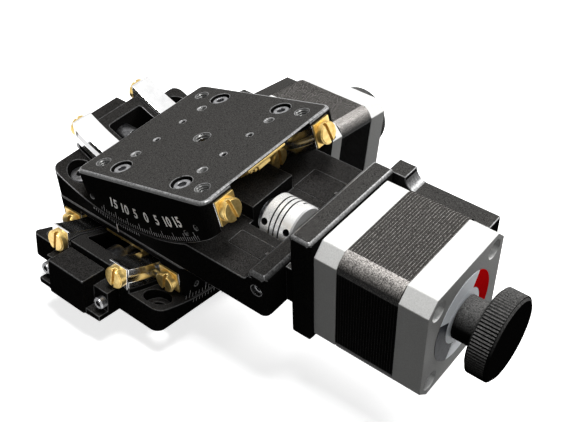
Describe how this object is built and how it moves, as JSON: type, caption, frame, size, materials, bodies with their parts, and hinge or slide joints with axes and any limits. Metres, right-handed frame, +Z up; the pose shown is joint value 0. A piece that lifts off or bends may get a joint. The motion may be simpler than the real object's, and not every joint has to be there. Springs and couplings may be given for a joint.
{
  "type": "motorised two-axis goniometer stage",
  "caption": "Two crossed arc tilt stages on curved roller rails, each driven by a stepper motor with hand knob through a coupling, worm and toothed segment.",
  "frame": {"origin": "centre of the lower base's bottom face, straight under the common point that both stages turn about", "axes": "+X towards the upper motor, +Y towards the lower motor, +Z up from the lower base"},
  "size_m": [0.1784, 0.1721, 0.0762],
  "materials": {
    "black_anodised": "black anodised, fine matt",
    "rail_steel": "ground and polished",
    "steel": "bright",
    "black_steel": "dark oxide, worn bright",
    "brass": "turned, polished",
    "cast_silver": "die cast, satin",
    "silver_aluminium": "turned, bright",
    "black_lamination": "black laminated steel with fine lines",
    "black_knob": "black anodised, knurled rim"
  },
  "bodies": {
    "stage_base": {"lower_base": "black_anodised", "lower_base_rails": "rail_steel", "lower_rail_tabs": "rail_steel", "lower_rail_screws": "brass", "lower_bearing_block": "steel", "lower_worm_bearings": "steel", "lower_limit_housing": "black_anodised", "lower_base_fasteners": "black_steel", "lower_motor_bracket": "black_anodised", "lower_connector_box": "black_anodised", "lower_motor_front_bell": "cast_silver", "lower_motor_stack": "black_lamination", "lower_motor_rear_bell": "cast_silver", "lower_motor_screws": "steel"},
    "lower_drive": {"lower_worm": "steel", "lower_coupling": "silver_aluminium", "lower_motor_shaft": "steel", "lower_knob": "black_knob"},
    "lower_guide": {"lower_roller_cages": "brass", "lower_rollers": "steel"},
    "lower_carriage": {"lower_platform": "black_anodised", "lower_platform_rails": "rail_steel", "lower_platform_tabs": "brass", "lower_platform_screws": "brass", "lower_gear_segment": "brass", "lower_cap_screws": "black_steel", "upper_base": "black_anodised", "upper_base_rails": "rail_steel", "upper_rail_tabs": "rail_steel", "upper_rail_screws": "brass", "upper_bearing_block": "steel", "upper_worm_bearings": "steel", "upper_limit_housing": "black_anodised", "upper_base_fasteners": "black_steel", "upper_motor_bracket": "black_anodised", "upper_connector_box": "black_anodised", "upper_motor_front_bell": "cast_silver", "upper_motor_stack": "black_lamination", "upper_motor_rear_bell": "cast_silver", "upper_motor_screws": "steel"},
    "upper_drive": {"upper_worm": "steel", "upper_coupling": "silver_aluminium", "upper_motor_shaft": "steel", "upper_knob": "black_knob"},
    "upper_guide": {"upper_roller_cages": "brass", "upper_rollers": "steel"},
    "upper_carriage": {"upper_platform": "black_anodised", "upper_platform_rails": "rail_steel", "upper_platform_tabs": "brass", "upper_platform_screws": "brass", "upper_gear_segment": "brass", "upper_cap_screws": "black_steel"}
  },
  "joints": [
    {"name": "lower_tilt", "type": "hinge", "parent": "stage_base", "child": "lower_carriage", "pos_m": [0, 0, 0.1], "axis": [1, 0, 0], "range_deg": [-19.4, 0.6]},
    {"name": "lower_guide_roll", "type": "hinge", "parent": "stage_base", "child": "lower_guide", "pos_m": [0, 0, 0.1], "axis": [1, 0, 0], "range_deg": [-9.8, 0.4]},
    {"name": "lower_drive_spin", "type": "hinge", "parent": "stage_base", "child": "lower_drive", "pos_m": [0.0025, 0, 0.0105], "axis": [0, 1, 0], "range_deg": [-131, 4192]},
    {"name": "upper_tilt", "type": "hinge", "parent": "lower_carriage", "child": "upper_carriage", "pos_m": [0, 0, 0.1], "axis": [0, -0.9866, -0.1633], "range_deg": [-31, 0]},
    {"name": "upper_guide_roll", "type": "hinge", "parent": "lower_carriage", "child": "upper_guide", "pos_m": [0, 0, 0.1], "axis": [0, -0.9866, -0.1633], "range_deg": [-15.6, 0.1]},
    {"name": "upper_drive_spin", "type": "hinge", "parent": "lower_carriage", "child": "upper_drive", "pos_m": [0, 0.00807, 0.03596], "axis": [1, 0, 0], "range_deg": [-1, 4775]}
  ],
  "couplings": [
    {"joint": "lower_guide_roll", "follows": "lower_tilt", "ratio": 0.5},
    {"joint": "lower_drive_spin", "follows": "lower_tilt", "ratio": -216},
    {"joint": "upper_guide_roll", "follows": "upper_tilt", "ratio": 0.5},
    {"joint": "upper_drive_spin", "follows": "upper_tilt", "ratio": -154}
  ]
}
